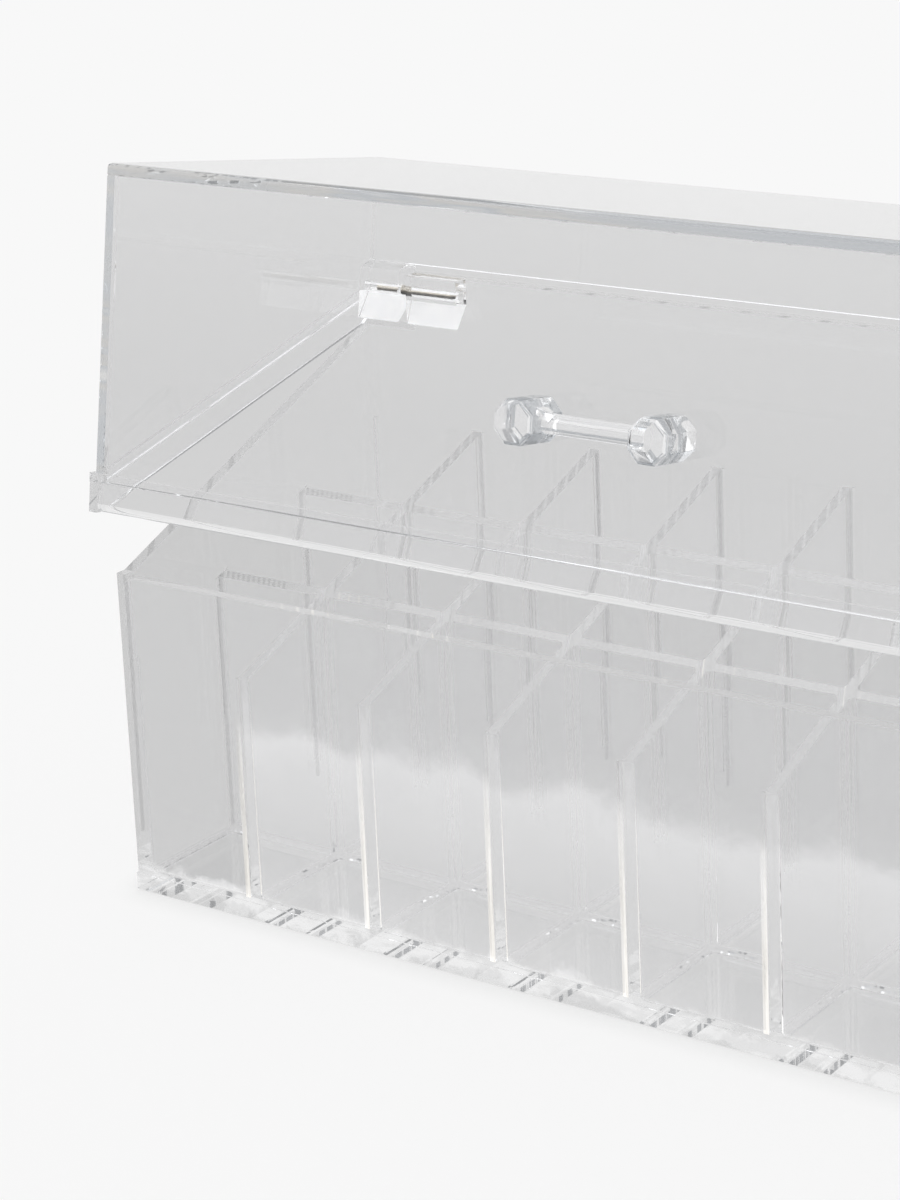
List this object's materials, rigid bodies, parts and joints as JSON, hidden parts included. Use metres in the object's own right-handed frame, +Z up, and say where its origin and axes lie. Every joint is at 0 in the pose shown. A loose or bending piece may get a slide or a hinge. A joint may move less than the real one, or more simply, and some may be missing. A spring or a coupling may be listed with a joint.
{
  "type": "lipstick organizer",
  "caption": "Clear box with an egg-crate of open cells for upright lipsticks and a slanted hinged lid with a knob-and-rod pull.",
  "frame": {"origin": "middle of the floor plate's underside, on the surface that the organizer stands on", "axes": "+X to the right along the box's width, +Y from the low front to the high hinged back, +Z up"},
  "size_m": [0.201, 0.0861, 0.1258],
  "materials": {
    "clear_acrylic": "polished clear sheet",
    "pin_steel": "bright drawn rod"
  },
  "bodies": {
    "organizer": {"base_panel": "clear_acrylic", "front_panel": "clear_acrylic", "back_panel": "clear_acrylic", "left_side_panel": "clear_acrylic", "right_side_panel": "clear_acrylic", "column_divider_1": "clear_acrylic", "column_divider_2": "clear_acrylic", "column_divider_3": "clear_acrylic", "column_divider_4": "clear_acrylic", "column_divider_5": "clear_acrylic", "column_divider_6": "clear_acrylic", "column_divider_7": "clear_acrylic", "row_divider_front": "clear_acrylic", "row_divider_back": "clear_acrylic", "hinge_block_left": "clear_acrylic", "hinge_block_right": "clear_acrylic", "hinge_pin_left": "pin_steel", "hinge_pin_right": "pin_steel"},
    "lid": {"lid_top_panel": "clear_acrylic", "lid_front_panel": "clear_acrylic", "lid_back_panel": "clear_acrylic", "lid_left_panel": "clear_acrylic", "lid_right_panel": "clear_acrylic", "lid_front_lip": "clear_acrylic", "lid_left_lip": "clear_acrylic", "lid_right_lip": "clear_acrylic", "lid_knuckle_left": "clear_acrylic", "lid_knuckle_right": "clear_acrylic", "handle_knob_left": "clear_acrylic", "handle_knob_right": "clear_acrylic", "handle_rod": "clear_acrylic"}
  },
  "joints": [
    {"name": "lid_hinge", "type": "hinge", "parent": "organizer", "child": "lid", "pos_m": [0, 0.033, 0.092], "axis": [-1, 0, 0], "range_deg": [-9.31, 92]}
  ]
}
